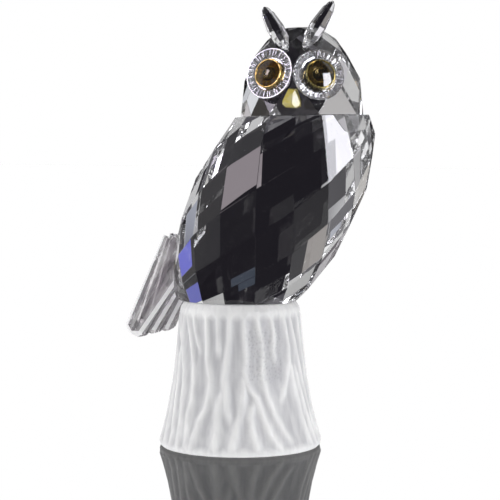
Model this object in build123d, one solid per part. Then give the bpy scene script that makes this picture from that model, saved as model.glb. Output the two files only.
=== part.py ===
from build123d import *
import math
import os

os.makedirs("parts", exist_ok=True)

# A cut-crystal owl on a frosted glass stump. Millimetres, +Z up, origin at the middle of the
# stump's ground foot. The body leans towards +X, the tail hangs on its -X side, and the head is
# turned on the neck so that the face looks nearly along -Y. Left and right are the owl's own.

# ---------------------------------------------------------------- driving dimensions

STUMP_HEIGHT = 39.2
STUMP_FOOT_RADIUS = 22.0
STUMP_WAIST_RADIUS = 18.2
STUMP_NECK_RADIUS = 16.5
STUMP_TOP_RADIUS = 15.0
STUMP_FOOT_ROUND = 1.8
STUMP_FOOT_EDGE = 0.8
STUMP_FOOT_BULGE = 0.6
STUMP_FOOT_BULGE_HEIGHT = 0.72
STUMP_WAIST_HEIGHT = 18.0
STUMP_SHOULDER_HEIGHT = 35.0
STUMP_SHOULDER_BULGE_RADIUS = 15.95
STUMP_SHOULDER_BULGE_HEIGHT = 37.6
GROOVE_COUNT = 22
GROOVE_RADIUS = 1.1
GROOVE_DEPTH = 0.5
# Grooves start and end at shares of the flank that step through short cycles, and their leans and
# spacings wander as sines of the groove's number.
GROOVE_START = 0.06
GROOVE_START_STEP = 0.10
GROOVE_STARTS = 3
GROOVE_END = 0.97
GROOVE_END_STEP = 0.08
GROOVE_ENDS = 2
GROOVE_LEAN = 4.0
GROOVE_LEAN_BEAT = 2.3
GROOVE_WANDER = 0.25
GROOVE_WANDER_BEAT = 1.7

BODY_HALF_LENGTH = 40.4
BODY_RADIUS = 21.5
BODY_SIDES = 12
BODY_RING_PHASE = 0.563
BODY_LOW_RING = -8
BODY_HIGH_RING = 7
BODY_LEAN = 31.0
BODY_TURN = 19.0
BODY_CENTRE = (9.8, 0, 65.75)
SHOULDER_FACET_TURN = 25.0
SHOULDER_FACET_TILT = 22.0
SHOULDER_FACET_REACH = 16.9

NECK_CENTRE = (18.2, 0, 88.8)
NECK_TILT = 1.2

HEAD_HEIGHT = 23.4
HEAD_RADIUS = 16.7
HEAD_SIDES = 8
HEAD_TOP_RING = 5
HEAD_TURN = -75.5
HEAD_GIRDLE = 0.5
# Rows of dome facets, counted up from the base, that carry the eyes and the ear tufts.
EYE_ROW = 1
TUFT_ROW = 3

FILM = 0.12
FOOT_FILM_RADIUS = 14.4
NECK_FILM_RADIUS = 14.6

EYE_HEIGHT = 9.3
EYE_STAGGER = 0.25
DISC_FRONT_RADIUS = 6.75
DISC_BACK_RADIUS = 4.8
DISC_THICKNESS = 2.5
DISC_RIM_HEIGHT = 0.4
DISC_FLUTES = 34
FLUTE_RADIUS = 0.4
DISC_RECESS_RADIUS = 4.4
DISC_RECESS_DEPTH = 0.5
DISC_FILM_RADIUS = 4.2
BEZEL_RADIUS = 3.9
BEZEL_WALL = 0.3
BEZEL_HEIGHT = 1.2
BEZEL_ROUND = 0.18
STONE_EDGE_HEIGHT = 1.0
STONE_DOME_HEIGHT = 0.75
STONE_FILM_RADIUS = 3.3
LEFT_STONE_SHIFT = 0.4
PUPIL_RADIUS = 1.75
PUPIL_DEPTH = 0.9
PUPIL_DRAFT = 20.0
STONE_FILM_LEVEL = FILM + DISC_THICKNESS - DISC_RECESS_DEPTH
STONE_LEVEL = STONE_FILM_LEVEL + FILM

BEAK_HEIGHT = 5.1
BEAK_WIDTH = 4.8
BEAK_TOP_WIDTH = 2.2
BEAK_BOTTOM_WIDTH = 3.0
BEAK_DEPTH = 2.7
BEAK_LEVEL = 4.4
BEAK_SHIFT = -0.45
BEAK_TILT = 6.0
BEAK_WAIST_DROP = 0.765
BEAK_JAW_DROP = 1.9125
BEAK_DRAFT = 8.0
BEAK_TABLE_CENTRE = (-0.5, -0.2)
BEAK_TABLE_HALF_WIDTH = 0.9
BEAK_TABLE_BELOW = 1.3
BEAK_TABLE_ABOVE = 1.5
BEAK_RIGHT_BEVEL = 38.0
BEAK_LEFT_BEVEL = 30.0
BEAK_LOW_BEVEL = 40.0
BEAK_HIGH_BEVEL = 22.0
BEAK_FILM_RADIUS = 1.5

TUFT_WIDTH = 4.6
TUFT_THICKNESS = 3.0
TUFT_FLAT_SHARE = 0.42
# Height along the tuft and share of the full section there, from the root to the tip.
TUFT_STATIONS = (
    (-1.2, 0.16),
    (2.4, 0.9),
    (6.5, 1.0),
    (11.2, 0.74),
    (13.3, 0.42),
    (14.0, 0.12),
)
TUFT_ROOT_OFFSET = 2.6
TUFT_ROOT_LIFT = 0.2
LEFT_TUFT_SPREAD = 29.0
LEFT_TUFT_LEAN = 20.0
LEFT_TUFT_ROOT_HEIGHT = 17.8
RIGHT_TUFT_SPREAD = 27.0
RIGHT_TUFT_LEAN = 30.0
RIGHT_TUFT_ROOT_HEIGHT = 17.6

FEATHER_LENGTH = 27.6
FEATHER_TIP_HALF_DEPTH = 2.6
FEATHER_TOP_HALF_DEPTH = 5.5
FEATHER_TIP_HALF_WIDTH = 3.0
FEATHER_TOP_HALF_WIDTH = 1.6
FEATHER_BEVEL_TURNS = (-128, 128, -48, 48)
FEATHER_BEVEL_TIP_REACH = 3.3
FEATHER_BEVEL_TOP_REACH = 4.25
FEATHER_POINT_TURNS = (180, 0, -125, 125, -55, 55)
FEATHER_POINT_REACH = 1.5
FEATHER_POINT_SLOPE = 1.1
FEATHER_TIP_BACK = 27.8
FEATHER_TIP_HEIGHT = 29.6
FEATHER_TIP_SPACING = 8.5
FEATHER_SLOPE = 26.0
FEATHER_FAN = 10.5
TAIL_BEAD_RADIUS = 2.3
TAIL_BEAD_HEIGHT = 1.3
TAIL_BEAD_CREST_RADIUS = 1.6
TAIL_BEAD_CLIMB = 20.5


# ---------------------------------------------------------------- shared shapes


def polyhedron(corner_lists):
    """One solid from flat facets, each given as its list of corners."""
    facets = [Face(Wire.make_polygon([Vector(*corner) for corner in corners])) for corners in corner_lists]
    return Solid(Shell(facets))


def rhombic_crystal(half_length, radius, sides, phase, low_ring, high_ring):
    """Egg of flat rhombs about Z, ended by two flat tables.

    With ring heights that follow tanh and ring radii that follow 1/cosh, the four corners of each
    rhomb lie in one plane and all corners lie on an ellipsoid.
    """
    step = math.atanh(math.sin(math.pi / sides))
    half_turn = math.pi / sides

    def corner(ring, angle):
        level = step * (ring + phase)
        reach = radius / math.cosh(level)
        return (reach * math.cos(angle), reach * math.sin(angle), half_length * math.tanh(level))

    def row_angle(ring, index):
        return half_turn * (2 * index + ring % 2)

    facets = []
    for ring in range(low_ring, high_ring + 1):
        for index in range(sides):
            angle = row_angle(ring, index)
            left = corner(ring, angle - half_turn)
            right = corner(ring, angle + half_turn)
            below = [corner(ring - 1, angle)] if ring > low_ring else []
            above = [corner(ring + 1, angle)] if ring < high_ring else []
            facets.append([left] + below + [right] + above)
    for ring in (low_ring, high_ring):
        facets.append([corner(ring, row_angle(ring, index) + half_turn) for index in range(sides)])
    return polyhedron(facets)


def cut_bar(length, facets):
    """Bar up +Z cut by flat facets, each a turn about Z and its reach from Z at the two ends."""
    block = Pos(0, 0, length / 2) * Box(4 * length, 4 * length, length)
    for turn, low_reach, high_reach in facets:
        tilt = math.degrees(math.atan2(high_reach - low_reach, length))
        facet = Rot(0, 0, turn) * Pos(low_reach, 0, 0) * Rot(0, 90 + tilt, 0)
        block = split(block, bisect_by=Plane(facet), keep=Keep.BOTTOM)
    return block


def bevelled_bar(section, stations):
    """Bar of one polygon section, scaled at each (height, scale) station and ruled between them."""
    faces = [Pos(0, 0, height) * scale(section, by=size) for height, size in stations]
    return loft(faces, ruled=True)


# ---------------------------------------------------------------- stump


def stump_flank():
    """The stump's concave side, from above the foot's rounding up to the shoulder."""
    return ThreePointArc(
        (STUMP_FOOT_RADIUS, 0, STUMP_FOOT_ROUND),
        (STUMP_WAIST_RADIUS, 0, STUMP_WAIST_HEIGHT),
        (STUMP_NECK_RADIUS, 0, STUMP_SHOULDER_HEIGHT),
    )


def stump_block():
    foot_flat = STUMP_FOOT_RADIUS - STUMP_FOOT_EDGE
    foot_round = ThreePointArc(
        (foot_flat, 0, 0),
        (foot_flat + STUMP_FOOT_BULGE, 0, STUMP_FOOT_BULGE_HEIGHT),
        (STUMP_FOOT_RADIUS, 0, STUMP_FOOT_ROUND),
    )
    shoulder = ThreePointArc(
        (STUMP_NECK_RADIUS, 0, STUMP_SHOULDER_HEIGHT),
        (STUMP_SHOULDER_BULGE_RADIUS, 0, STUMP_SHOULDER_BULGE_HEIGHT),
        (STUMP_TOP_RADIUS, 0, STUMP_HEIGHT),
    )
    inside = Polyline(
        (STUMP_TOP_RADIUS, 0, STUMP_HEIGHT),
        (0, 0, STUMP_HEIGHT),
        (0, 0, 0),
        (foot_flat, 0, 0),
    )
    outline = Wire([foot_round.edge(), stump_flank().edge(), shoulder.edge()] + list(inside.edges()))
    return revolve(Face(outline), Axis.Z)


def bark_grooves():
    """Shallow grooves up the flank, each leaning and ending a little differently."""
    flank = stump_flank().edge()
    outwards = GROOVE_RADIUS - GROOVE_DEPTH
    grooves = []
    for index in range(GROOVE_COUNT):
        start = GROOVE_START + GROOVE_START_STEP * (index % GROOVE_STARTS)
        end = GROOVE_END - GROOVE_END_STEP * (index % GROOVE_ENDS)
        path = Pos(outwards, 0, 0) * flank.trim(start, end)
        mouth = Plane(path @ 0, z_dir=path % 0) * Circle(GROOVE_RADIUS)
        groove = sweep(mouth, path=path)
        leaning = Rot(GROOVE_LEAN * math.sin(GROOVE_LEAN_BEAT * index), 0, 0)
        half = Pos(0, 0, STUMP_HEIGHT / 2)
        wander = GROOVE_WANDER * math.sin(GROOVE_WANDER_BEAT * index)
        turn = 360 / GROOVE_COUNT * (index + wander)
        grooves.append(Rot(0, 0, turn) * half * leaning * half.inverse() * groove)
    return grooves


def stump():
    return stump_block() - bark_grooves()


# ---------------------------------------------------------------- body


def body_crystal():
    egg = rhombic_crystal(
        BODY_HALF_LENGTH, BODY_RADIUS, BODY_SIDES, BODY_RING_PHASE, BODY_LOW_RING, BODY_HIGH_RING
    )
    body = Pos(*BODY_CENTRE) * Rot(0, BODY_LEAN, 0) * Rot(0, 0, BODY_TURN) * egg
    seat = Plane((0, 0, STUMP_HEIGHT + FILM))
    body = split(body, bisect_by=seat, keep=Keep.TOP)
    body = split(body, bisect_by=Plane(NECK), keep=Keep.BOTTOM)
    for turn in (-SHOULDER_FACET_TURN, SHOULDER_FACET_TURN):
        facet = NECK * Rot(0, 0, turn) * Pos(SHOULDER_FACET_REACH, 0, 0) * Rot(0, 90 - SHOULDER_FACET_TILT, 0)
        body = split(body, bisect_by=Plane(facet), keep=Keep.BOTTOM)
    return body


# ---------------------------------------------------------------- head, in its own frame
# In the head's frame the origin is the middle of the head's flat base, +X looks out of the face
# and +Y points to the owl's left.


def head_ring(ring):
    """Radius and height of one ring of the dome's corners."""
    level = math.atanh(math.sin(math.pi / HEAD_SIDES)) * ring
    return HEAD_RADIUS / math.cosh(level), HEAD_GIRDLE + HEAD_HEIGHT * math.tanh(level)


def head_tilt(ring):
    """Tilt from upright of the facet row centred on a ring, in degrees."""
    low_radius, low_height = head_ring(ring - 1)
    high_radius, high_height = head_ring(ring + 1)
    return math.degrees(math.atan2(low_radius - high_radius, high_height - low_height))


def head_facet(ring, turn):
    """Facet in the row centred on a ring: +Z out of it, +X down it, origin at its low corner."""
    low_radius, low_height = head_ring(ring - 1)
    return Rot(0, 0, turn) * Pos(low_radius, 0, low_height) * Rot(0, 90 - head_tilt(ring), 0)


def head_crystal():
    dome = rhombic_crystal(HEAD_HEIGHT, HEAD_RADIUS, HEAD_SIDES, 0, 0, HEAD_TOP_RING)
    girdle = extrude(RegularPolygon(HEAD_RADIUS, HEAD_SIDES, rotation=180 / HEAD_SIDES), HEAD_GIRDLE)
    return Pos(0, 0, HEAD_GIRDLE) * dome + girdle


def eye_location(side):
    """Middle of an eye on its facet: +Z out of the facet. side is 1 on the left and -1 on the right."""
    facet = head_facet(EYE_ROW, side * 180 / HEAD_SIDES)
    climb = (EYE_HEIGHT - side * EYE_STAGGER) / math.cos(math.radians(head_tilt(EYE_ROW)))
    return facet * Pos(-climb, 0, 0)


def film(radius, height):
    """Thin round adhesive film that starts at the given height."""
    return extrude(Pos(0, 0, height) * Circle(radius), FILM)


def eye_disc():
    """Clear disc: a plain rim at the front over a fluted cone, with a shallow recess for the stone."""
    cone_height = DISC_THICKNESS - DISC_RIM_HEIGHT
    back = Pos(0, 0, FILM) * Circle(DISC_BACK_RADIUS)
    front = Pos(0, 0, FILM + cone_height) * Circle(DISC_FRONT_RADIUS)
    slope = math.degrees(math.atan2(DISC_FRONT_RADIUS - DISC_BACK_RADIUS, cone_height))
    flute = Pos(DISC_BACK_RADIUS, 0, FILM) * Rot(0, slope, 0) * Cylinder(FLUTE_RADIUS, 4 * DISC_THICKNESS)
    flutes = [Rot(0, 0, 360 / DISC_FLUTES * index) * flute for index in range(DISC_FLUTES)]
    rim = extrude(front, DISC_RIM_HEIGHT)
    recess_floor = FILM + DISC_THICKNESS - DISC_RECESS_DEPTH
    recess = extrude(Pos(0, 0, recess_floor) * Circle(DISC_RECESS_RADIUS), 2 * DISC_RECESS_DEPTH)
    return loft([back, front]) - flutes + rim - recess


def eye_bezel():
    wall = Pos(0, 0, STONE_LEVEL) * (Circle(BEZEL_RADIUS) - Circle(BEZEL_RADIUS - BEZEL_WALL))
    ring = extrude(wall, BEZEL_HEIGHT)
    outer_rim = ring.edges().filter_by(GeomType.CIRCLE).group_by(Axis.Z)[-1].sort_by(SortBy.RADIUS)[-1]
    return fillet(outer_rim, BEZEL_ROUND)


def pupil():
    return extrude(Pos(0, 0, STONE_LEVEL) * Circle(PUPIL_RADIUS), PUPIL_DEPTH, taper=PUPIL_DRAFT)


def eye_stone():
    """Amber stone: a straight edge inside the bezel under a low polished dome, hollowed for the pupil."""
    radius = BEZEL_RADIUS - BEZEL_WALL
    ball_radius = (radius**2 + STONE_DOME_HEIGHT**2) / (2 * STONE_DOME_HEIGHT)
    top = STONE_LEVEL + STONE_EDGE_HEIGHT + STONE_DOME_HEIGHT
    blank = extrude(Pos(0, 0, STONE_LEVEL) * Circle(radius), top - STONE_LEVEL)
    polished = blank & Pos(0, 0, top - ball_radius) * Sphere(ball_radius)
    return polished - pupil()


def beak_location():
    """Middle of the beak on the upright facet under the eyes: +Z out of the face, +Y up."""
    flat_reach = HEAD_RADIUS * math.cos(math.pi / HEAD_SIDES)
    face = Plane((flat_reach, BEAK_SHIFT, BEAK_LEVEL), x_dir=(0, 1, 0), z_dir=(1, 0, 0))
    return Location(face) * Rot(0, 0, -BEAK_TILT)


def beak():
    half = BEAK_HEIGHT / 2
    side_corners = [
        (BEAK_BOTTOM_WIDTH / 2, -half),
        (BEAK_WIDTH / 2, -BEAK_JAW_DROP),
        (BEAK_WIDTH / 2, -BEAK_WAIST_DROP),
        (BEAK_TOP_WIDTH / 2, half),
    ]
    mirrored_corners = [(-x, y) for x, y in reversed(side_corners)]
    outline = make_face(Polyline(*side_corners, *mirrored_corners, close=True))
    chip = extrude(Pos(0, 0, FILM) * outline, BEAK_DEPTH, taper=BEAK_DRAFT)
    table = Pos(*BEAK_TABLE_CENTRE, FILM + BEAK_DEPTH)
    right_bevel = Plane(table * Pos(BEAK_TABLE_HALF_WIDTH, 0, 0) * Rot(0, BEAK_RIGHT_BEVEL, 0))
    left_bevel = Plane(table * Pos(-BEAK_TABLE_HALF_WIDTH, 0, 0) * Rot(0, -BEAK_LEFT_BEVEL, 0))
    low_bevel = Plane(table * Pos(0, -BEAK_TABLE_BELOW, 0) * Rot(BEAK_LOW_BEVEL, 0, 0))
    high_bevel = Plane(table * Pos(0, BEAK_TABLE_ABOVE, 0) * Rot(-BEAK_HIGH_BEVEL, 0, 0))
    for bevel in (right_bevel, left_bevel, low_bevel, high_bevel):
        chip = split(chip, bisect_by=bevel, keep=Keep.BOTTOM)
    return chip


def tuft_location(side):
    """Root of an ear tuft: +Z along the tuft, +Y out of the head."""
    on_right = side < 0
    spread = RIGHT_TUFT_SPREAD if on_right else LEFT_TUFT_SPREAD
    lean_back = RIGHT_TUFT_LEAN if on_right else LEFT_TUFT_LEAN
    root_height = RIGHT_TUFT_ROOT_HEIGHT if on_right else LEFT_TUFT_ROOT_HEIGHT
    seat = tuft_seat(side)
    normal = seat.z_dir
    start = Vector(0, side * TUFT_ROOT_OFFSET, root_height)
    reach = (seat.origin - start).dot(normal) / normal.X
    root = start + Vector(reach, 0, 0) + normal * TUFT_ROOT_LIFT
    return Pos(root) * Rot(0, -lean_back, 0) * Rot(-side * spread, 0, 0) * Rot(0, 0, -90)


def tuft_seat(side):
    """Plane one film above the dome facet that carries a tuft."""
    return Plane(head_facet(TUFT_ROW, side * 180 / HEAD_SIDES) * Pos(0, 0, FILM))


def ear_tuft(side):
    """Slim pointed crystal of six long facets, its root ground flat to sit on the dome."""
    half_width = TUFT_WIDTH / 2
    half_depth = TUFT_THICKNESS / 2
    half_flat = half_width * TUFT_FLAT_SHARE
    corners = [
        (half_width, 0),
        (half_flat, half_depth),
        (-half_flat, half_depth),
        (-half_width, 0),
        (-half_flat, -half_depth),
        (half_flat, -half_depth),
    ]
    section = make_face(Polyline(*corners, close=True))
    tuft = tuft_location(side) * bevelled_bar(section, TUFT_STATIONS)
    return split(tuft, bisect_by=tuft_seat(side), keep=Keep.TOP)


def ear_bond(side):
    """Adhesive under a tuft: its ground seat, extended down to the dome's facet."""
    seat = tuft_seat(side)
    seat_face = [face for face in ear_tuft(side).faces() if face.normal_at().dot(seat.z_dir) < -0.999][0]
    return extrude(seat_face, FILM, dir=-seat.z_dir)


# ---------------------------------------------------------------- tail


def feather_location(side):
    """Tip of one tail bar: +Z runs up the bar and -X points away from the body."""
    tip = Pos(-FEATHER_TIP_BACK, side * FEATHER_TIP_SPACING, FEATHER_TIP_HEIGHT)
    return tip * Rot(0, FEATHER_SLOPE, 0) * Rot(side * FEATHER_FAN, 0, 0)


def facing_facet(body, point):
    """The facet of the body that faces a point outside it most squarely."""
    return max(body.faces(), key=lambda facet: (point - facet.center()).dot(facet.normal_at()))


def bead_centre(side):
    return (feather_location(side) * Pos(0, 0, TAIL_BEAD_CLIMB)).position


def tail_feather(side, body):
    """Long crystal bar: deep and narrow at the top, its tip bevelled, ground flat where it is glued."""
    facets = []
    for turn in (180, 0):
        facets.append((turn, FEATHER_TIP_HALF_DEPTH, FEATHER_TOP_HALF_DEPTH))
    for turn in (-90, 90):
        facets.append((turn, FEATHER_TIP_HALF_WIDTH, FEATHER_TOP_HALF_WIDTH))
    for turn in FEATHER_BEVEL_TURNS:
        facets.append((turn, FEATHER_BEVEL_TIP_REACH, FEATHER_BEVEL_TOP_REACH))
    for turn in FEATHER_POINT_TURNS:
        facets.append((turn, FEATHER_POINT_REACH, FEATHER_POINT_REACH + FEATHER_POINT_SLOPE * FEATHER_LENGTH))
    bar = feather_location(side) * cut_bar(FEATHER_LENGTH, facets)
    facet = facing_facet(body, bead_centre(side))
    seat = Plane(facet.center() + facet.normal_at() * FILM, z_dir=facet.normal_at())
    return split(bar, bisect_by=seat, keep=Keep.TOP)


def tail_bond(side, bar, body):
    """Adhesive between a bar and the body's facet, squeezed out into a low bead round the bar."""
    facet = facing_facet(body, bead_centre(side))
    normal = facet.normal_at()
    climb = (bead_centre(side) - facet.center()).dot(normal)
    foot = Plane(bead_centre(side) - normal * climb, z_dir=normal)
    base = foot * Circle(TAIL_BEAD_RADIUS)
    crest = foot * Pos(0, 0, TAIL_BEAD_HEIGHT) * Circle(TAIL_BEAD_CREST_RADIUS)
    return loft([base, crest]) - bar


# ---------------------------------------------------------------- assembly

NECK = Pos(*NECK_CENTRE) * Rot(0, -NECK_TILT, 0)
HEAD = NECK * Pos(0, 0, FILM) * Rot(0, 0, HEAD_TURN)
SIDES = {"left": 1, "right": -1}


def build_parts():
    body = body_crystal()
    parts = {
        "stump": stump(),
        "foot_bond": extrude(Pos(0, 0, STUMP_HEIGHT) * Circle(FOOT_FILM_RADIUS), FILM),
        "body_crystal": body,
        "neck_bond": NECK * film(NECK_FILM_RADIUS, 0),
        "head_crystal": HEAD * head_crystal(),
        "beak": HEAD * beak_location() * beak(),
        "beak_bond": HEAD * beak_location() * film(BEAK_FILM_RADIUS, 0),
    }
    for name, side in SIDES.items():
        eye = HEAD * eye_location(side)
        parts["eye_disc_" + name] = eye * eye_disc()
        parts["eye_disc_bond_" + name] = eye * film(DISC_FILM_RADIUS, 0)
        stone = eye * Pos(0, LEFT_STONE_SHIFT * max(side, 0), 0)
        parts["eye_stone_bond_" + name] = stone * film(STONE_FILM_RADIUS, STONE_FILM_LEVEL)
        parts["eye_bezel_" + name] = stone * eye_bezel()
        parts["eye_stone_" + name] = stone * eye_stone()
        parts["pupil_" + name] = stone * pupil()
        parts["ear_tuft_" + name] = HEAD * ear_tuft(side)
        parts["ear_bond_" + name] = HEAD * ear_bond(side)
    for name, side in {"centre": 0, **SIDES}.items():
        bar = tail_feather(side, body)
        parts["tail_feather_" + name] = bar
        parts["tail_bond_" + name] = tail_bond(side, bar, body)
    return parts


for node, shape in build_parts().items():
    shape.label = node
    export_step(shape, "parts/" + node + ".step")
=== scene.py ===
"""Cut-crystal owl on a satin glass stump: the looks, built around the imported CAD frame.

Everything is in metres in the frame of the CAD part: z = 0 is the foot of the stump, +X is the way
the body leans, and the tail hangs on the -X side.
"""

import math

import bmesh
import bpy
import numpy as np
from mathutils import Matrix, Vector


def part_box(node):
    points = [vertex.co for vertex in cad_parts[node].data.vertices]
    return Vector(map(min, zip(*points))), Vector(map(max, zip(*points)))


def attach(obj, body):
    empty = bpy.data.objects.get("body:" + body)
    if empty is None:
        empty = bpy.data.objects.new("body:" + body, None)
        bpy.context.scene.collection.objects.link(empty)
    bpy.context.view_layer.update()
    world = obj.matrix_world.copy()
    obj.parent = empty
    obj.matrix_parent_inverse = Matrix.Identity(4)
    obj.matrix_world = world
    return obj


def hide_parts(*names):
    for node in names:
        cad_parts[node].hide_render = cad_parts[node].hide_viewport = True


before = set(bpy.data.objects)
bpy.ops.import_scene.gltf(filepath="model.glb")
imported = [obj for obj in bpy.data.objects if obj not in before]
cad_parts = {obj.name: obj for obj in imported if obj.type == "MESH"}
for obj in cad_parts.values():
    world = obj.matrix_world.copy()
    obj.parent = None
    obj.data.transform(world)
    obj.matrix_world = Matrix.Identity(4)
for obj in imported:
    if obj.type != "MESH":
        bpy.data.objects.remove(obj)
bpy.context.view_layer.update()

MM = 0.001

# Camera: the photograph's viewing angle and framing.
VIEW_AZIMUTH = math.radians(24.0)
VIEW_ELEVATION = math.radians(3.9)
VIEW_DISTANCE = 500 * MM
VIEW_TARGET_RIGHT = 2.7 * MM
VIEW_TARGET_HEIGHT = 52.8 * MM
LENS_MM = 133.3
SENSOR_MM = 36.0
# Angle from +X of the direction in which the camera stands, seen from the object.
CAMERA_SIDE = VIEW_AZIMUTH - math.pi / 2

# Glass and adhesive.
CRYSTAL_IOR = 1.545
ADHESIVE_IOR = 1.50
PLAIN_GLASS_IOR = 1.5
AMBER_IOR = 1.52
COAT_IOR = 1.9
GLASS_BOUNCES = 24
# Bands that a noise texture's values lie in: most of them, and nearly all of them.
MOST = (0.35, 0.65)
NEARLY_ALL = (0.3, 0.7)
FACET_BEVEL = 0.06 * MM
WELD_DISTANCE = 0.003 * MM
FLAT_ANGLE = math.radians(0.4)
# The tail bars' slanting facets are taken as fine-ground: the sideways share of their normals lies
# between these.
GROUND_LEAN = (0.6, 0.9)

# The studio that the glass sees: a dim room with panels hung in it, a later one in front of an
# earlier one. Each is (turn from the camera's side towards its right, elevation, half width, half
# height, soft edge, all in degrees, and the colour it glows with). Many places and tones come from
# scratch programs that fitted the light to the photograph's tones, and were then rounded and
# changed by hand, so they suit the photograph's view first.
ROOM_GLOW = (0.075, 0.072, 0.083)
PANELS = (
    (170, -4, 38, 34, 3, (0.007, 0.006, 0.009)),
    (-102, 12, 24, 60, 5, (0.55, 0.55, 0.56)),
    (98, -5, 30, 72, 5, (0.9, 0.9, 0.91)),
    (135, 50, 28, 24, 4, (0.85, 0.85, 0.85)),
    (180, 42, 18, 9, 3, (0.6, 0.6, 0.6)),
    (212, -58, 10, 8, 3, (0.5, 0.5, 0.5)),
    (307, -62, 12, 8, 3, (0.5, 0.5, 0.5)),
    (-36, -1, 9, 10, 4, (0.55, 0.55, 0.55)),
    (-9, -46, 7, 6, 2, (0.5, 0.5, 0.5)),
    (49, 10, 14, 20, 2, (12.0, 12.0, 12.8)),
    (-66, 28, 6, 7, 1, (5.2, 4.8, 5.6)),
    (70, -42, 26, 9, 3, (0.45, 0.45, 0.45)),
    (226, -26, 14, 9, 3, (0.9, 0.9, 0.9)),
    (253, 0, 7, 12, 3, (0.56, 0.52, 0.46)),
    (214, -23, 9, 15, 2, (0.46, 0.45, 0.48)),
    (229, -12, 5, 12, 2, (0.5, 0.5, 0.5)),
    (204.6, 0, 1.6, 4.5, 0.5, (0.42, 0.41, 0.41)),
    (215, 22, 8, 9, 2, (0.26, 0.24, 0.23)),
    (214, 30, 7, 3, 1, (0.5, 0.5, 0.5)),
    (161, -16, 8, 3.5, 1, (0.27, 0.24, 0.26)),
    (128, -4, 7, 8, 2, (0.45, 0.47, 0.55)),
    (123, -10, 5, 5, 2, (0.85, 0.87, 0.92)),
    (124.5, 0, 2, 3, 1, (0.15, 0.16, 0.68)),
    (143, 17, 3, 4, 1, (0.12, 0.13, 0.45)),
    (178, 15.5, 2.5, 2, 0.5, (0.045, 0.055, 0.075)),
    (110, -56, 12, 8, 3, (0.7, 0.7, 0.7)),
    (203.5, 24.5, 3, 4, 1, (0.8, 0.78, 0.82)),
    (-17.5, 1, 5, 5, 2, (0.5, 0.48, 0.5)),
    (-62, -2, 5, 6, 2, (0.45, 0.44, 0.42)),
    (-70, -18, 5, 5, 2, (0.7, 0.7, 0.7)),
    (8, 50, 6, 6, 2, (0.65, 0.65, 0.65)),
    (138.5, -11, 2.5, 3, 1, (0.43, 0.43, 0.45)),
    (143.5, -10.5, 1.5, 2, 0.5, (0.7, 0.7, 0.7)),
    (215, 5, 3, 4, 1, (0.66, 0.66, 0.68)),
)
# The satin glass gets a soft light of its own, stronger from the sides than from front and back.
FILL_FOR_SATIN = 1.46
FILL_LOSS_IN_FRONT = 0.64
# The floor is a pale polished sheet that mirrors the stump darkly.
FLOOR_HALF_SIZE = 3.0
FLOOR_MIRROR = 0.155
FLOOR_ROUGHNESS = 0.02
FILM_HEIGHT = 0.02 * MM

# Eye discs, in mm: the outline of the CAD disc, with radial flutes in its face.
DISC_RADIUS = 6.75
DISC_BACK_RADIUS = 4.8
DISC_RIM = 0.4
DISC_STEP_RADIUS = 4.75
DISC_RECESS_RADIUS = 4.4
DISC_RECESS_DEPTH = 0.5
DISC_FLUTES = 34
DISC_FLUTE_DEPTH = 0.3
DISC_COLUMNS_PER_FLUTE = 8
# Shares of the way along the cone, and across the fluted face, where the disc has a ring of points.
DISC_CONE_RINGS = (0.25, 0.5, 0.75)
DISC_FACE_RINGS = (0.12, 0.5, 0.88)
DISC_CONE_FLUTE_SHARE = 0.8
DISC_EDGE_HEIGHT = 0.05
DISC_EDGE_WIDTH = 0.06
DISC_PLAIN_RIM = 0.3
DISC_FLUTE_START = 0.35
DISC_STEP_DROP = 0.12
# The flutes aren't quite even: how far a flute strays and how often round the disc.
DISC_FLUTE_STRAY = 0.5
DISC_FLUTE_STRAYS = 5
# Iris foil inside each eye stone: radii and heights over the stone's flat back, in mm.
IRIS_INNER = 1.8
IRIS_OUTER = 3.4
IRIS_INNER_LEVEL = 0.1
IRIS_OUTER_LEVEL = 0.8
IRIS_THICKNESS = 0.06
IRIS_RINGS = 7
IRIS_DISH_POWER = 1.3
IRIS_RAYS = 60
IRIS_COLUMNS_PER_RAY = 4
# Brightness of the iris: a middle value, fine rays over it, and a few broad rays under them.
IRIS_MIDDLE = 0.5
IRIS_FINE_STRENGTH = 0.3
IRIS_BROAD_STRENGTH = 0.2
IRIS_BROAD_RAYS = 17
IRIS_BROAD_PHASE = 1.3
# How bright the rays are at the dish's inner edge, and how much is added towards its outer edge.
IRIS_INNER_GAIN = 0.35
IRIS_OUTWARD_GAIN = 0.9
# Lean of the tail bars from vertical.
TAIL_LEAN = math.radians(-27)

# Satin glass stump: profile as (height, crest radius) in mm, close to the CAD flank.
STUMP_PROFILE = ((0.0, 21.2), (0.5, 21.7), (1.8, 22.0), (5, 21.0), (10, 19.7), (18, 18.2), (25, 17.35),
                 (35, 16.5), (37.6, 16.0), (39.2, 15.0))
STUMP_TURNS = 540
STUMP_ROWS = 170
VALLEY_DEPTH = 0.6
RIDGE_WIDTH_TOP = 0.85
RIDGE_WIDTH_FOOT = 1.45
RIDGE_NARROWS_UP_TO = 30
# A ridge that ends below the top level, or starts above the foot level, fades out over a length.
RIDGE_TOP_LEVEL = 35
RIDGE_FOOT_LEVEL = 1
RIDGE_FADE = 3.0
SHOULDER_LEVEL = 33.6
SHOULDER_ARCH = 1.2
SHOULDER_STEP = 2.2
FOOT_LEVEL = 1.0
FOOT_STEP = 1.6
# A patch of the front where the mould left small round hammer marks: turns and heights it spans.
HAMMERED_TURNS = (2, 46)
HAMMERED_HEIGHTS = (17, 35)
HAMMERED_TURN_FADE = 6
HAMMERED_HEIGHT_FADE = 3
HAMMERED_RADIUS = 17.35
HAMMER_SPACING = 0.95
# Dent radii as shares of the spacing: the smallest, and how much is added at most.
DENT_SMALLEST = 0.2
DENT_GROWTH = 0.4
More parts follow.
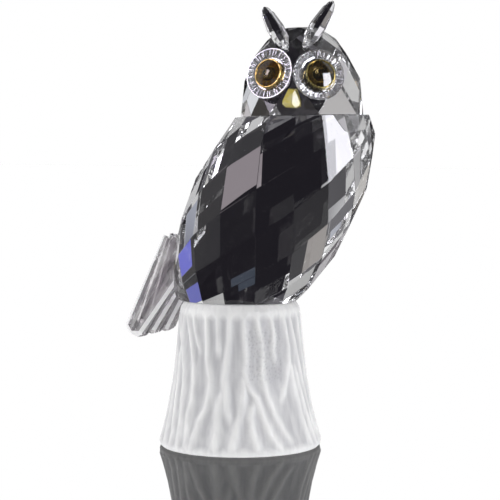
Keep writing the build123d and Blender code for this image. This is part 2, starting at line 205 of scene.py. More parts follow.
# Two sets of weights (by column, by row, overall) that scatter the dents as if by chance.
DENT_SCATTERS = ((12.9898, 78.233, 437.585), (39.346, 11.135, 241.731))
HAMMER_DEPTH = 0.2
# Painted shade: the hammer dents are darkened by HAMMER_SHADE, and the valleys are painted greyer than the
# crests.
HAMMER_SHADE = 0.28
VALLEY_SHADE_COLOUR = (0.65, 0.65, 0.672)
CREST_COLOUR = (0.98, 0.98, 0.985)
# Crests of the bark ridges on the side that faces the photograph's camera: (height in mm, turn in
# degrees) from top to bottom, the turn counted from the camera's side towards its right. The first
# fifteen were read off the photograph as points, which a scratch program turned into heights and
# turns. They were then rounded and carried on. The last six were added one by one.
RIDGES = (
    ((36, -49), (32, -45), (29, -41), (27, -38)),
    ((36, -33), (29, -31), (25, -30), (20, -26), (16, -26), (12, -28), (9, -33), (4, -36), (0, -37)),
    ((36, -21), (31, -20), (26, -19)),
    ((36, -10), (30, -10), (26, -11), (20, -13), (15, -12), (12, -10), (9, -8)),
    ((17, -15), (13, -17), (8, -18), (3, -18), (0, -18)),
    ((36, 4), (25, 5), (22, 4), (19, 6), (17, 9), (15, 14), (12, 17), (9, 20), (6, 23), (3, 28), (0, 32)),
    ((21, 3), (17, 3), (14, 2), (11, 1), (8, -2), (3, -5), (0, -7)),
    ((14, 11), (10, 8), (7, 9), (3, 12), (0, 13)),
    ((36, 16), (33, 18), (30, 20), (26, 21), (21, 20), (17, 22), (13, 26), (10, 30), (6, 35), (3, 40)),
    ((36, 45), (32, 48), (28, 50), (24, 50), (20, 45), (17, 41), (14, 37)),
    ((24, 51), (19, 53), (13, 56), (9, 57), (5, 60), (0, 63)),
    ((36, 54), (30, 60), (25, 64), (21, 67), (16, 70), (8, 74), (0, 78)),
    ((36, -60), (31, -53), (27, -48), (23, -45), (18, -43), (14, -43), (10, -45), (4, -42), (0, -41)),
    ((36, -75), (31, -72), (26, -64), (21, -58), (16, -56), (11, -54), (2, -50), (0, -50)),
    ((36, -88), (27, -83), (22, -77), (17, -76), (12, -76), (7, -74), (0, -68)),
    ((36, -67), (30, -66), (25, -70), (18, -68), (11, -65), (5, -60), (0, -58)),
    ((33, -96), (24, -92), (15, -88), (8, -85), (0, -80)),
    ((36, 30), (31, 33), (27, 31), (24, 33)),
    ((36, 70), (28, 74), (20, 80), (12, 84), (4, 88), (0, 90)),
    ((36, 84), (29, 86), (22, 90), (14, 95), (6, 98), (0, 101)),
    ((22, 58), (16, 62), (10, 66), (4, 69), (0, 70)),
)


# ---------------------------------------------------------------- shader helpers


def material(name):
    """A new material with an empty tree and its output node."""
    made = bpy.data.materials.new(name)
    made.use_nodes = True
    tree = made.node_tree
    tree.nodes.clear()
    return made, tree, tree.nodes.new("ShaderNodeOutputMaterial")


def principled(tree, output, **values):
    """A Principled shader wired to the output, with its own sockets set."""
    shader = tree.nodes.new("ShaderNodeBsdfPrincipled")
    for socket, value in values.items():
        shader.inputs[socket.replace("_", " ")].default_value = value
    tree.links.new(shader.outputs["BSDF"], output.inputs["Surface"])
    return shader


def noise(tree, scale, detail):
    """Values of a noise texture in object space."""
    coords = tree.nodes.new("ShaderNodeTexCoord")
    texture = tree.nodes.new("ShaderNodeTexNoise")
    texture.inputs["Scale"].default_value = scale
    texture.inputs["Detail"].default_value = detail
    tree.links.new(coords.outputs["Object"], texture.inputs["Vector"])
    return texture.outputs["Fac"]


def streaks(tree, tilt, scale, stretch):
    """Values of noise drawn out along a line that leans by a tilt from vertical in the X-Z plane."""
    coords = tree.nodes.new("ShaderNodeTexCoord")
    upright = tree.nodes.new("ShaderNodeVectorRotate")
    upright.rotation_type = "Y_AXIS"
    upright.inputs["Angle"].default_value = tilt
    mapping = tree.nodes.new("ShaderNodeMapping")
    mapping.inputs["Scale"].default_value = (1, 1, 1 / stretch)
    texture = tree.nodes.new("ShaderNodeTexNoise")
    texture.inputs["Scale"].default_value = scale
    texture.inputs["Detail"].default_value = 1.0
    tree.links.new(coords.outputs["Object"], upright.inputs["Vector"])
    tree.links.new(upright.outputs["Vector"], mapping.inputs["Vector"])
    tree.links.new(mapping.outputs["Vector"], texture.inputs["Vector"])
    return texture.outputs["Fac"]


def mesh_values(tree, name):
    """Values that a piece's mesh carries under a name."""
    node = tree.nodes.new("ShaderNodeAttribute")
    node.attribute_name = name
    return node.outputs["Fac"]


def map_range(tree, value, low, high, new_low=0.0, new_high=1.0, smooth=False):
    """Value stretched from (low, high) to (new_low, new_high)."""
    node = tree.nodes.new("ShaderNodeMapRange")
    node.interpolation_type = "SMOOTHSTEP" if smooth else "LINEAR"
    node.inputs["From Min"].default_value = low
    node.inputs["From Max"].default_value = high
    node.inputs["To Min"].default_value = new_low
    node.inputs["To Max"].default_value = new_high
    tree.links.new(value, node.inputs["Value"])
    return node.outputs["Result"]


def math_node(tree, operation, first, second=None):
    """A math node over sockets or plain numbers."""
    node = tree.nodes.new("ShaderNodeMath")
    node.operation = operation
    for socket, value in zip(node.inputs, (first, second)):
        if isinstance(value, (int, float)):
            socket.default_value = value
        elif value is not None:
            tree.links.new(value, socket)
    return node.outputs["Value"]


def mix_colour(tree, share, first, second):
    """Colour that goes from the first to the second with the share."""
    node = tree.nodes.new("ShaderNodeMix")
    node.data_type = "RGBA"
    node.clamp_factor = False
    tree.links.new(share, node.inputs["Factor"])
    for socket, value in (("A", first), ("B", second)):
        target = [entry for entry in node.inputs if entry.name == socket and entry.type == "RGBA"][0]
        if isinstance(value, tuple):
            target.default_value = (*value, 1)
        else:
            tree.links.new(value, target)
    return [entry for entry in node.outputs if entry.type == "RGBA"][0]


def wire_bump(tree, shader, height, **values):
    """A bump from a height, wired to a shader's normal, with its own sockets set."""
    bump = tree.nodes.new("ShaderNodeBump")
    for socket, value in values.items():
        bump.inputs[socket].default_value = value
    tree.links.new(height, bump.inputs["Height"])
    tree.links.new(bump.outputs["Normal"], shader.inputs["Normal"])


def mix_shader(tree, share, first, second):
    """Shader that goes from the first to the second with the share."""
    node = tree.nodes.new("ShaderNodeMixShader")
    for socket, value in zip(node.inputs, (share, first, second)):
        tree.links.new(value, socket)
    return node.outputs["Shader"]


def background(tree, colour=None, strength=None):
    """Light of a world: its colour white and its strength 1, unless a socket feeds them."""
    node = tree.nodes.new("ShaderNodeBackground")
    node.inputs["Color"].default_value = (1, 1, 1, 1)
    for socket, value in (("Color", colour), ("Strength", strength)):
        if value is not None:
            tree.links.new(value, node.inputs[socket])
    return node


# ---------------------------------------------------------------- materials


def polished_crystal():
    """Polished clear crystal with a faint film of handling marks in its roughness."""
    made, tree, output = material("crystal")
    shader = principled(
        tree, output, Base_Color=(1, 1, 1, 1), IOR=CRYSTAL_IOR, Transmission_Weight=1.0)
    marks = noise(tree, 90.0, 3.0)
    rarest_marks = (0.66, 0.8)
    tree.links.new(map_range(tree, marks, *rarest_marks, 0.0, 0.01), shader.inputs["Roughness"])
    return made


def satin_glass():
    """Acid-frosted glass: milky, with painted shade that greys the pressed valleys and hammer dents, and a
    fine pebbled skin.
    """
    made, tree, output = material("frosted_glass")
    shader = principled(
        tree, output, Roughness=0.55, IOR=PLAIN_GLASS_IOR, Transmission_Weight=0.12)
    clouds = noise(tree, 120.0, 3.0)
    grooves = streaks(tree, 0.0, 650.0, 9.0)
    cloud_strength = 0.12
    groove_strength = 0.2
    cloud = map_range(tree, clouds, *NEARLY_ALL, -cloud_strength, cloud_strength)
    groove = map_range(tree, grooves, *MOST, -groove_strength, groove_strength)
    # The crest values carry painted shade in the valleys and dents; clouds and grooves add random tone.
    whiteness_with_painted_shade = math_node(tree, "ADD", mesh_values(tree, "crest"), cloud)
    whiteness_with_painted_shade = math_node(tree, "ADD", whiteness_with_painted_shade, groove)
    colour = mix_colour(tree, whiteness_with_painted_shade, VALLEY_SHADE_COLOUR, CREST_COLOUR)
    tree.links.new(colour, shader.inputs["Base Color"])
    pebbles = noise(tree, 1400.0, 3.0)
    skin = math_node(tree, "ADD", pebbles, grooves)
    wire_bump(tree, shader, skin, Strength=0.6, Distance=0.2 * MM)
    return made


def tail_crystal():
    """The tail bars' broad facets: mostly clear, with a diffuse share in long grey streaks."""
    made, tree, output = material("tail_crystal")
    shader = principled(tree, output, IOR=CRYSTAL_IOR, Roughness=0.0)
    grain = streaks(tree, TAIL_LEAN, 600.0, 60.0)
    clear_share = map_range(tree, grain, 0.4, 0.65, 0.68, 1.0)
    tree.links.new(clear_share, shader.inputs["Transmission Weight"])
    clear_tone = (1.0, 0.985, 0.99)
    streak_tone = (0.93, 0.89, 0.92)
    colour = mix_colour(tree, map_range(tree, grain, *MOST), clear_tone, streak_tone)
    tree.links.new(colour, shader.inputs["Base Color"])
    return made


def ground_edge():
    """The tail bars' slanting facets, as if fine-ground: whitish and softly glossy."""
    made, tree, output = material("ground_edge")
    shader = principled(tree, output, IOR=CRYSTAL_IOR)
    grit = noise(tree, 900.0, 3.0)
    white_tone = (1.0, 1.0, 1.0)
    grit_tone = (0.9, 0.89, 0.91)
    colour = mix_colour(tree, map_range(tree, grit, *MOST), white_tone, grit_tone)
    tree.links.new(colour, shader.inputs["Base Color"])
    tree.links.new(map_range(tree, grit, *NEARLY_ALL, 0.2, 0.5), shader.inputs["Roughness"])
    return made


def silvered_crystal():
    """Crystal with a thin metallic share all over, as if silvered, for the fluted eye discs."""
    made, tree, output = material("silvered_crystal")
    shader = principled(tree, output, IOR=CRYSTAL_IOR, Transmission_Weight=1.0, Metallic=0.22)
    patina = noise(tree, 260.0, 3.0)
    bright_tone = (1, 1, 1)
    dull_tone = (0.82, 0.82, 0.86)
    colour = mix_colour(tree, map_range(tree, patina, *MOST), bright_tone, dull_tone)
    tree.links.new(colour, shader.inputs["Base Color"])
    tree.links.new(map_range(tree, patina, 0.55, 0.8, 0.0, 0.04), shader.inputs["Roughness"])
    return made


def optical_adhesive():
    """Clear adhesive, all but invisible: a faint glossy film with thin clouds."""
    made, tree, output = material("adhesive")
    shader = principled(tree, output, Roughness=0.15, IOR=ADHESIVE_IOR)
    clouds = noise(tree, 500.0, 4.0)
    pale_tone = (0.9, 0.92, 0.95)
    cloud_tone = (0.78, 0.79, 0.82)
    colour = mix_colour(tree, map_range(tree, clouds, 0.4, 0.6), pale_tone, cloud_tone)
    tree.links.new(colour, shader.inputs["Base Color"])
    tree.links.new(map_range(tree, clouds, 0.4, 0.75, 0.015, 0.09), shader.inputs["Alpha"])
    return made


def neck_painted_shade():
    """The neck joint's film, painted nearly black: painted shade that makes the middle of the head look
    dark.
    """
    made, tree, output = material("adhesive_neck_painted_shade")
    shader = principled(tree, output, Roughness=0.2, IOR=ADHESIVE_IOR)
    clouds = noise(tree, 300.0, 3.0)
    # Painted shade: near-black tones on a joint that is clear adhesive.
    black_tone = (0.012, 0.012, 0.014)
    grey_tone = (0.035, 0.035, 0.04)
    colour = mix_colour(tree, map_range(tree, clouds, *MOST), black_tone, grey_tone)
    tree.links.new(colour, shader.inputs["Base Color"])
    tree.links.new(map_range(tree, clouds, *NEARLY_ALL, 0.9, 0.7), shader.inputs["Alpha"])
    return made


def whitened_adhesive():
    """Old adhesive on the tail: whitish, with a net of fine cracks."""
    made, tree, output = material("adhesive_whitened")
    shader = principled(tree, output, IOR=ADHESIVE_IOR, Transmission_Weight=0.35)
    coords = tree.nodes.new("ShaderNodeTexCoord")
    cracks = tree.nodes.new("ShaderNodeTexVoronoi")
    cracks.feature = "DISTANCE_TO_EDGE"
    cracks.inputs["Scale"].default_value = 1100.0
    tree.links.new(coords.outputs["Object"], cracks.inputs["Vector"])
    crack_width = 0.12
    uncracked = map_range(tree, cracks.outputs["Distance"], 0.0, crack_width, smooth=True)
    crack_tone = (0.42, 0.42, 0.44)
    white_tone = (0.95, 0.95, 0.96)
    tree.links.new(mix_colour(tree, uncracked, crack_tone, white_tone), shader.inputs["Base Color"])
    tree.links.new(map_range(tree, uncracked, 0, 1, 0.5, 0.12), shader.inputs["Roughness"])
    wire_bump(tree, shader, uncracked, Distance=0.2 * MM)
    return made


def gold_metal(name, bright, worn):
    """Gold-plated brass, a little worn and uneven."""
    made, tree, output = material(name)
    shader = principled(tree, output, Metallic=1.0)
    wear = noise(tree, 900.0, 4.0)
    colour = mix_colour(tree, map_range(tree, wear, *MOST), bright, worn)
    tree.links.new(colour, shader.inputs["Base Color"])
    tree.links.new(map_range(tree, wear, *NEARLY_ALL, 0.12, 0.38), shader.inputs["Roughness"])
    return made


def iris_foil(name, deep, bright):
    """Foil dish with radial streaks between two tones, seen through the eye stone."""
    made, tree, output = material(name)
    shader = principled(tree, output, Metallic=0.75)
    rays = mesh_values(tree, "rays")
    tree.links.new(mix_colour(tree, rays, deep, bright), shader.inputs["Base Color"])
    tree.links.new(map_range(tree, rays, 0, 1, 0.45, 0.2), shader.inputs["Roughness"])
    return made


def tinted_glass(name, thin, deep, ior, transmission=1.0, coat=0.0):
    """Coloured glass with soft clouds between two tints and a few handling marks."""
    made, tree, output = material(name)
    shader = principled(
        tree, output, IOR=ior, Transmission_Weight=transmission, Coat_Weight=coat, Coat_IOR=COAT_IOR)
    clouds = noise(tree, 350.0, 3.0)
    colour = mix_colour(tree, map_range(tree, clouds, *MOST), thin, deep)
    tree.links.new(colour, shader.inputs["Base Color"])
    tree.links.new(map_range(tree, clouds, 0.5, 0.8, 0.0, 0.05), shader.inputs["Roughness"])
    return made


def black_glass():
    """Polished black glass with the faintest brown mottling."""
    made, tree, output = material("black_glass")
    shader = principled(tree, output, IOR=PLAIN_GLASS_IOR)
    mottle = noise(tree, 700.0, 3.0)
    black_tone = (0.003, 0.003, 0.003)
    brown_tone = (0.02, 0.014, 0.008)
    colour = mix_colour(tree, map_range(tree, mottle, *NEARLY_ALL), black_tone, brown_tone)
    tree.links.new(colour, shader.inputs["Base Color"])
    tree.links.new(map_range(tree, mottle, *NEARLY_ALL, 0.02, 0.1), shader.inputs["Roughness"])
    return made


# ---------------------------------------------------------------- pieces


def piece(name, mesh, paint):
    """A finished piece of the object: linked, given its paint, and riding on the one body."""
    obj = bpy.data.objects.new(name, mesh)
    bpy.context.scene.collection.objects.link(obj)
    mesh.materials.clear()
    mesh.materials.append(paint)
    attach(obj, "root")
    return obj


def cut_crystal(node, paint, edge_paint=None):
    """A crystal node's facets again, with every ground edge broken by a narrow bevel."""
    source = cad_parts[node]
    work = bmesh.new()
    work.from_mesh(source.data)
    bmesh.ops.remove_doubles(work, verts=work.verts, dist=WELD_DISTANCE)
    bmesh.ops.dissolve_limit(
        work, angle_limit=FLAT_ANGLE, verts=work.verts, edges=work.edges,
        use_dissolve_boundaries=False)
    bmesh.ops.bevel(
        work, geom=work.edges[:], offset=FACET_BEVEL, segments=1, affect="EDGES", profile=0.5,
        clamp_overlap=True)
    for face in work.faces:
        face.smooth = False
    mesh = bpy.data.meshes.new(node + "_cut")
    work.to_mesh(mesh)
    work.free()
    made = piece(node + "_cut", mesh, paint)
    if edge_paint:
        mesh.materials.append(edge_paint)
        for facet in mesh.polygons:
            if GROUND_LEAN[0] < abs(facet.normal.y) < GROUND_LEAN[1]:
                facet.material_index = 1
    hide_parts(node)


def flat_piece_frame(node):
    """Middle of a flat round CAD piece's back, its axis away from the head, and the back's level."""
    points = np.array([vertex.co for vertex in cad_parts[node].data.vertices])
    # Each corner counts once, however many facets meet in it.
    points = np.unique(points.round(7), axis=0)
    low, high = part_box("head_crystal")
    head_middle = (np.array(low) + np.array(high)) / 2
    centre = (points.max(0) + points.min(0)) / 2
    axis = np.linalg.svd(points - points.mean(0))[2][2]
    if np.dot(axis, centre - head_middle) < 0:
        axis = -axis
    back_level = (points @ axis).min()
    return centre + axis * (back_level - np.dot(centre, axis)), axis, back_level


def spokes(axis, count):
    """Directions square to an axis, evenly round it, each with its angle."""
    across = np.cross(axis, (0, 0, 1))
    across /= np.linalg.norm(across)
    upward = np.cross(across, axis)
    for index in range(count):
        angle = 2 * math.pi * index / count
        yield angle, across * math.cos(angle) + upward * math.sin(angle)


def disc_rings(face_level):
    """Rings of an eye disc from the middle of its back, round the rim, to the middle of its recess.

    Each is (radius, level over the back, depth of the flutes there), in mm.
    """
    cone_top = face_level - DISC_RIM
    rings = [(DISC_BACK_RADIUS, 0, 0)]
    for share in DISC_CONE_RINGS:
        radius = DISC_BACK_RADIUS + (DISC_RADIUS - DISC_BACK_RADIUS) * share
        rings.append((radius, cone_top * share, DISC_FLUTE_DEPTH * DISC_CONE_FLUTE_SHARE))
    rings.append((DISC_RADIUS, cone_top, 0))
    rings.append((DISC_RADIUS, face_level - DISC_EDGE_HEIGHT, 0))
    rings.append((DISC_RADIUS - DISC_EDGE_WIDTH, face_level, 0))
    rings.append((DISC_RADIUS - DISC_PLAIN_RIM, face_level, 0))
    outer = DISC_RADIUS - DISC_FLUTE_START
    for share in DISC_FACE_RINGS:
        rings.append((outer - (outer - DISC_STEP_RADIUS) * share, face_level, DISC_FLUTE_DEPTH))
    rings.append((DISC_STEP_RADIUS, face_level, 0))
    rings.append((DISC_RECESS_RADIUS, face_level - DISC_STEP_DROP, 0))
    rings.append((DISC_RECESS_RADIUS, face_level - DISC_RECESS_DEPTH, 0))
    return rings


def fluted_disc(side):
    """An eye disc again, with radial flutes cut in its face and its cone, round the stone's recess."""
    node = "eye_disc_" + side
    origin, axis, back_level = flat_piece_frame(node)
    points = np.array([vertex.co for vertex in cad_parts[node].data.vertices])
    face_level = ((points @ axis).max() - back_level) / MM
    rings = disc_rings(face_level)
    count = len(rings)
    columns = DISC_FLUTES * DISC_COLUMNS_PER_FLUTE
    vertices = []
    for angle, spoke in spokes(axis, columns):
        stray = DISC_FLUTE_STRAY * math.sin(DISC_FLUTE_STRAYS * angle)
        cut = 0.5 - 0.5 * math.cos(DISC_FLUTES * angle + stray)
        for radius, level, depth in rings:
            on_face = level > face_level - DISC_RIM
            sunk = level - (depth * cut if on_face else 0)
            narrow = radius - (0 if on_face else depth * cut)
            vertices.append(tuple(origin + (spoke * narrow + axis * sunk) * MM))
    faces = []
    for column in range(columns):
        after = (column + 1) % columns
        for ring in range(count - 1):
            faces.append((column * count + ring, column * count + ring + 1,
                          after * count + ring + 1, after * count + ring))
    faces.append(tuple(column * count for column in range(columns)))
    faces.append(tuple(column * count + count - 1 for column in reversed(range(columns))))
    mesh = bpy.data.meshes.new(node + "_fluted")
    mesh.from_pydata(vertices, [], faces)
    made = piece(node + "_fluted", mesh, silvered)
    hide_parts(node)


def iris_dish(side):
    """The foil dish set inside an eye stone, behind its dome: a thin cone ring round the pupil."""
    origin, axis, _ = flat_piece_frame("eye_stone_" + side)
    share = np.linspace(0, 1, IRIS_RINGS)
    radius = IRIS_INNER + (IRIS_OUTER - IRIS_INNER) * share
    level = IRIS_INNER_LEVEL + (IRIS_OUTER_LEVEL - IRIS_INNER_LEVEL) * share ** IRIS_DISH_POWER
    radii = np.concatenate([radius, radius[::-1]])
    levels = np.concatenate([level + IRIS_THICKNESS, level[::-1]])
    shares = np.concatenate([share, share[::-1]])
    columns = IRIS_RAYS * IRIS_COLUMNS_PER_RAY
    points = []
    rays = []
    for angle, spoke in spokes(axis, columns):
        fine = IRIS_FINE_STRENGTH * math.sin(angle * IRIS_RAYS)
        broad = IRIS_BROAD_STRENGTH * math.sin(angle * IRIS_BROAD_RAYS + IRIS_BROAD_PHASE)
        for ring_radius, ring_level, ring_share in zip(radii, levels, shares):
            points.append(tuple(origin + (spoke * ring_radius + axis * ring_level) * MM))
            ring_gain = IRIS_INNER_GAIN + IRIS_OUTWARD_GAIN * ring_share
            rays.append(min(1.0, max(0.0, (IRIS_MIDDLE + fine + broad) * ring_gain)))
    count = len(radii)
    faces = []
    for column in range(columns):
        after = (column + 1) % columns
        for ring in range(count):
            next_ring = (ring + 1) % count
            faces.append((column * count + ring, after * count + ring,
                          after * count + next_ring, column * count + next_ring))
    mesh = bpy.data.meshes.new("iris_" + side)
    mesh.from_pydata(points, [], faces)
    layer = mesh.attributes.new("rays", "FLOAT", "POINT")
    layer.data.foreach_set("value", rays)
    piece("iris_" + side, mesh, FOILS[side])


def ridge_height(turn, height):
    """How far up the bark ridges a point of the stump is, from 0 in a valley to 1 on a crest."""
    profile_height, profile_radius = np.array(STUMP_PROFILE).T
    radius = np.interp(height, profile_height, profile_radius)
    share = np.clip(height / RIDGE_NARROWS_UP_TO, 0, 1)
    width = RIDGE_WIDTH_FOOT + (RIDGE_WIDTH_TOP - RIDGE_WIDTH_FOOT) * share
    crest = np.zeros_like(turn)
    for ridge in RIDGES:
        heights, turns = np.array(ridge, float)[::-1].T
        fade = np.ones_like(height)
        if heights[-1] < RIDGE_TOP_LEVEL:
            fade = fade * np.clip((heights[-1] - height) / RIDGE_FADE + 0.5, 0, 1)
        if heights[0] > RIDGE_FOOT_LEVEL:
            fade = fade * np.clip((height - heights[0]) / RIDGE_FADE + 0.5, 0, 1)
        line = np.interp(height, heights, turns)
        # The back has the same ridges, mirrored.
        for ridge_turn in (line, 180 - line):
            away = (turn - ridge_turn + 180) % 360 - 180
            distance = np.radians(away) * radius
            crest = np.maximum(crest, np.exp(-(distance / width) ** 2) * fade)
    arch = SHOULDER_LEVEL + SHOULDER_ARCH * (1 - crest)
    shoulder = np.clip((height - arch) / SHOULDER_STEP, 0, 1)
    foot = np.clip((FOOT_LEVEL + FOOT_STEP - height) / FOOT_STEP, 0, 1)
    return np.maximum(crest, np.maximum(shoulder, foot))


def scattered(column, row, weights):
    """A number from 0 to 1 for a square of the hammered patch, which only looks random."""
    by_column, by_row, overall = weights
    value = np.sin(by_column * column + by_row * row) * overall
    return value - np.floor(value)


def within(value, span, fade):
    """1 well inside a span, falling to 0 at its two ends."""
    low, high = span
    return np.clip((value - low) / fade, 0, 1) * np.clip((high - value) / fade, 0, 1)


def hammer_marks(turn, height):
    """Small round dents in the hammered patch, as a depth in mm: one in each square of the patch."""
    signed = (turn + 180) % 360 - 180
    across = np.radians(signed) * HAMMERED_RADIUS / HAMMER_SPACING
    up = height / HAMMER_SPACING
    dent = np.zeros_like(turn)
    for side in (-1, 0, 1):
        for rise in (-1, 0, 1):
            column = np.floor(across) + side
            row = np.floor(up) + rise
            right, above = (scattered(column, row, weights) for weights in DENT_SCATTERS)
            away = np.hypot(across - column - right, up - row - above)
            size = DENT_SMALLEST + DENT_GROWTH * right * above
            dent = np.maximum(dent, np.clip(1 - (away / size) ** 2, 0, 1))
    patch = within(signed, HAMMERED_TURNS, HAMMERED_TURN_FADE)
    patch = patch * within(height, HAMMERED_HEIGHTS, HAMMERED_HEIGHT_FADE)
    return HAMMER_DEPTH * dent * patch


def bark_stump():
    """The stump's satin glass with its pressed bark ridges, close to the CAD stump's outline."""
    profile = np.array(STUMP_PROFILE)
    heights = np.linspace(0, profile[-1, 0], STUMP_ROWS)
    turns = np.arange(STUMP_TURNS) * 360 / STUMP_TURNS
    turn, height = np.meshgrid(turns, heights)
    crest = ridge_height(turn, height)
    radius = np.interp(height, profile[:, 0], profile[:, 1])
    dents = hammer_marks(turn, height)
    radius = radius - VALLEY_DEPTH * (1 - crest) - dents
    angle = np.radians(turn) + CAMERA_SIDE
    points = np.stack([radius * np.cos(angle), radius * np.sin(angle), height], -1).reshape(-1, 3) * MM
    mesh = bpy.data.meshes.new("stump_bark")
    faces = []
    for row in range(STUMP_ROWS - 1):
        for column in range(STUMP_TURNS):
            after = (column + 1) % STUMP_TURNS
            faces.append((row * STUMP_TURNS + column, row * STUMP_TURNS + after,
                          (row + 1) * STUMP_TURNS + after, (row + 1) * STUMP_TURNS + column))
    faces.append(tuple(reversed(range(STUMP_TURNS))))
    top = (STUMP_ROWS - 1) * STUMP_TURNS
    faces.append(tuple(range(top, top + STUMP_TURNS)))
    mesh.from_pydata([tuple(point) for point in points], [], faces)
    for polygon in mesh.polygons[:-2]:
        polygon.use_smooth = True
    # Painted shade: valleys stay darker, and each hammer dent is darkened by its depth.
    painted_shade_layer = mesh.attributes.new("crest", "FLOAT", "POINT")
    whiteness_with_painted_shade = crest - dents / HAMMER_DEPTH * HAMMER_SHADE
    painted_shade_layer.data.foreach_set("value", whiteness_with_painted_shade.ravel())
    made = piece("stump_bark", mesh, frosted)
    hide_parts("stump")


# ---------------------------------------------------------------- studio


def window(tree, direction, turn, elevation, half_width, half_height, soft):
    """A soft-edged rectangle over all directions: 1 inside it and 0 outside."""
    rotate = tree.nodes.new("ShaderNodeVectorRotate")
    rotate.rotation_type = "Z_AXIS"
    rotate.inputs["Angle"].default_value = -(CAMERA_SIDE + math.radians(turn))
    tree.links.new(direction, rotate.inputs["Vector"])
    parts = tree.nodes.new("ShaderNodeSeparateXYZ")
    tree.links.new(rotate.outputs["Vector"], parts.inputs[0])
    across = math_node(tree, "ABSOLUTE", math_node(tree, "ARCTAN2", parts.outputs["Y"], parts.outputs["X"]))
    up = math_node(tree, "ARCSINE", parts.outputs["Z"])
    up = math_node(tree, "ABSOLUTE", math_node(tree, "SUBTRACT", up, math.radians(elevation)))
    inside = [
        map_range(tree, angle, math.radians(half - soft), math.radians(half + soft), 1.0, 0.0, smooth=True)
        for angle, half in ((across, half_width), (up, half_height))
    ]
    return math_node(tree, "MULTIPLY", *inside)


def room_light(tree, direction):
    """The dim room with its panels, which the glass sees."""
    glow = ROOM_GLOW
    for *place, colour in PANELS:
        glow = mix_colour(tree, window(tree, direction, *place), glow, colour)
    return background(tree, colour=glow).outputs["Background"]


def satin_light(tree, direction):
    """The even fill that lights the satin glass, weaker from the front and the back."""
    frontal = tree.nodes.new("ShaderNodeVectorMath")
    frontal.operation = "DOT_PRODUCT"
    frontal.inputs[1].default_value = (math.cos(CAMERA_SIDE), math.sin(CAMERA_SIDE), 0)
    tree.links.new(direction, frontal.inputs[0])
    strength = math_node(tree, "ABSOLUTE", frontal.outputs["Value"])
    strength = math_node(tree, "MULTIPLY", strength, -FILL_LOSS_IN_FRONT)
    strength = math_node(tree, "ADD", strength, 1.0)
    strength = math_node(tree, "MULTIPLY", strength, FILL_FOR_SATIN)
    return background(tree, strength=strength).outputs["Background"]


def floor_mirrored(tree, direction, path):
    """1 for a ray that the floor has mirrored: a rising reflection that crosses the floor's film."""
    parts = tree.nodes.new("ShaderNodeSeparateXYZ")
    tree.links.new(direction, parts.inputs[0])
    rising = math_node(tree, "GREATER_THAN", parts.outputs["Z"], 0.0)
    through_film = math_node(tree, "GREATER_THAN", path.outputs["Transparent Depth"], 0.5)
    reflected = math_node(tree, "SUBTRACT", 1.0, path.outputs["Is Transmission Ray"])
    share = math_node(tree, "MULTIPLY", rising, through_film)
    share = math_node(tree, "MULTIPLY", share, path.outputs["Is Glossy Ray"])
    return math_node(tree, "MULTIPLY", share, reflected)


def studio():
    """White behind the object, an even fill for the satin glass, and the room for all other rays."""
    world = bpy.data.worlds.new("studio")
    world.use_nodes = True
    tree = world.node_tree
    tree.nodes.clear()
    direction = tree.nodes.new("ShaderNodeTexCoord").outputs["Generated"]
    path = tree.nodes.new("ShaderNodeLightPath")
    light = mix_shader(
        tree, path.outputs["Is Diffuse Ray"], room_light(tree, direction), satin_light(tree, direction))
    white = background(tree).outputs["Background"]
    light = mix_shader(tree, path.outputs["Is Camera Ray"], light, white)
    # The polished floor mirrors an even white room, so only the object's own reflection shows in it.
    mirrored = background(tree)
    mirrored.inputs["Strength"].default_value = 1 / FLOOR_MIRROR
    light = mix_shader(tree, floor_mirrored(tree, direction, path), light, mirrored.outputs["Background"])
    output = tree.nodes.new("ShaderNodeOutputWorld")
    tree.links.new(light, output.inputs["Surface"])
    # Found by the rays themselves, so that the satin is lit by its own light and by nothing else.
    world.cycles.sampling_method = "NONE"
    bpy.context.scene.world = world


def level_sheet(name, height, paint):
    """A wide level sheet of the stage."""
    half = FLOOR_HALF_SIZE
    corners = [(-half, -half, height), (half, -half, height), (half, half, height), (-half, half, height)]
    mesh = bpy.data.meshes.new(name)
    mesh.from_pydata(corners, [], [(0, 1, 2, 3)])
    mesh.materials.append(paint)
    obj = bpy.data.objects.new(name, mesh)
    bpy.context.scene.collection.objects.link(obj)
    return obj


def floor():
    """A pale polished floor: the eye sees the stump mirrored in it, and the glass sees the room.

    A clear film just over it, which only reflected rays meet, tells the world's shader which rays
    the floor has mirrored.
    """
    made, tree, output = material("floor")
    mirror = tree.nodes.new("ShaderNodeBsdfGlossy")
    mirror.inputs["Color"].default_value = (FLOOR_MIRROR, FLOOR_MIRROR, FLOOR_MIRROR, 1)
    mirror.inputs["Roughness"].default_value = FLOOR_ROUGHNESS
    clear = tree.nodes.new("ShaderNodeBsdfTransparent")
    path = tree.nodes.new("ShaderNodeLightPath")
    surface = mix_shader(
        tree, path.outputs["Is Camera Ray"], clear.outputs["BSDF"], mirror.outputs["BSDF"])
    tree.links.new(surface, output.inputs["Surface"])
    level_sheet("floor", 0.0, made)
    made, tree, output = material("floor_film")
    clear = tree.nodes.new("ShaderNodeBsdfTransparent")
    tree.links.new(clear.outputs["BSDF"], output.inputs["Surface"])
    film = level_sheet("floor_film", FILM_HEIGHT, made)
    film.visible_camera = False
    film.visible_diffuse = False
    film.visible_transmission = False
    film.visible_shadow = False


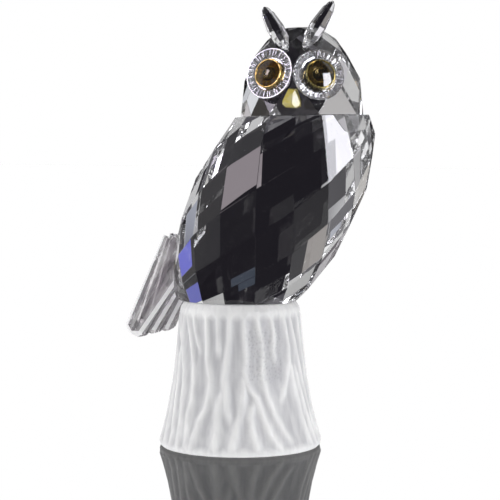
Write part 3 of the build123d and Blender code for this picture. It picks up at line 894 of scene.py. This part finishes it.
def camera():
    """The camera at the photograph's viewing angle."""
    lens = bpy.data.cameras.new("camera")
    lens.lens = LENS_MM
    lens.sensor_width = SENSOR_MM
    obj = bpy.data.objects.new("camera", lens)
    right = Vector((math.cos(VIEW_AZIMUTH), math.sin(VIEW_AZIMUTH), 0))
    target = right * VIEW_TARGET_RIGHT + Vector((0, 0, VIEW_TARGET_HEIGHT))
    toward = Vector((
        math.sin(VIEW_AZIMUTH) * math.cos(VIEW_ELEVATION),
        -math.cos(VIEW_AZIMUTH) * math.cos(VIEW_ELEVATION),
        math.sin(VIEW_ELEVATION),
    ))
    obj.location = target + toward * VIEW_DISTANCE
    obj.rotation_euler = (-toward).to_track_quat("-Z", "Y").to_euler()
    bpy.context.scene.collection.objects.link(obj)
    bpy.context.scene.camera = obj


# ---------------------------------------------------------------- build

crystal = polished_crystal()
frosted = satin_glass()
silvered = silvered_crystal()
tail_glass = tail_crystal()
tail_edge = ground_edge()
tail_glue = whitened_adhesive()
gold = gold_metal("gold_metal", bright=(0.9, 0.68, 0.27), worn=(0.55, 0.36, 0.1))
# A darker copy of the gold for the left eye's ring: painted shade.
gold_painted_shade = gold_metal("gold_metal_painted_shade", bright=(0.42, 0.34, 0.12), worn=(0.16, 0.13, 0.04))
amber = tinted_glass(
    "amber_glass", thin=(0.95, 0.8, 0.42), deep=(0.85, 0.62, 0.22), ior=AMBER_IOR, coat=0.3)
yellow = tinted_glass(
    "yellow_crystal", thin=(1.0, 0.95, 0.55), deep=(0.9, 0.75, 0.16), ior=CRYSTAL_IOR, transmission=0.5)
# The two eyes look unlike in the photograph, so the left eye's foil and ring are darker copies of the same
# finish: painted shade.
FOILS = {
    "left": iris_foil("iris_foil_olive", deep=(0.03, 0.026, 0.006), bright=(0.3, 0.24, 0.07)),
    "right": iris_foil("iris_foil_gold", deep=(0.22, 0.13, 0.015), bright=(1.0, 0.68, 0.13)),
}
SLOT_PAINTS = {
    "crystal": crystal,
    "adhesive": optical_adhesive(),
    "frosted_glass": frosted,
    "gold_metal": gold,
    "amber_glass": amber,
    "black_glass": black_glass(),
    "yellow_crystal": yellow,
}
OWN_PAINTS = {
    # The neck bond's film carries painted shade, nearly black.
    "neck_bond": neck_painted_shade(),
    "eye_bezel_left": gold_painted_shade,
    "tail_bond_left": tail_glue,
    "tail_bond_centre": tail_glue,
    "tail_bond_right": tail_glue,
}
for node_name, node_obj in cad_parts.items():
    # Blender may add a number after a dot to the slot's name.
    slot_name = node_obj.material_slots[0].material.name.split(".")[0]
    node_obj.material_slots[0].material = OWN_PAINTS.get(node_name, SLOT_PAINTS[slot_name])

for crystal_node in ("body_crystal", "head_crystal", "ear_tuft_left", "ear_tuft_right"):
    cut_crystal(crystal_node, crystal)
for crystal_node in ("tail_feather_left", "tail_feather_centre", "tail_feather_right"):
    cut_crystal(crystal_node, tail_glass, edge_paint=tail_edge)
cut_crystal("beak", yellow)
for eye_side in ("left", "right"):
    fluted_disc(eye_side)
    iris_dish(eye_side)
bark_stump()

camera()
studio()
floor()
scene = bpy.context.scene
scene.view_settings.view_transform = "Standard"
scene.cycles.max_bounces = GLASS_BOUNCES
scene.cycles.transmission_bounces = GLASS_BOUNCES
scene.cycles.glossy_bounces = GLASS_BOUNCES
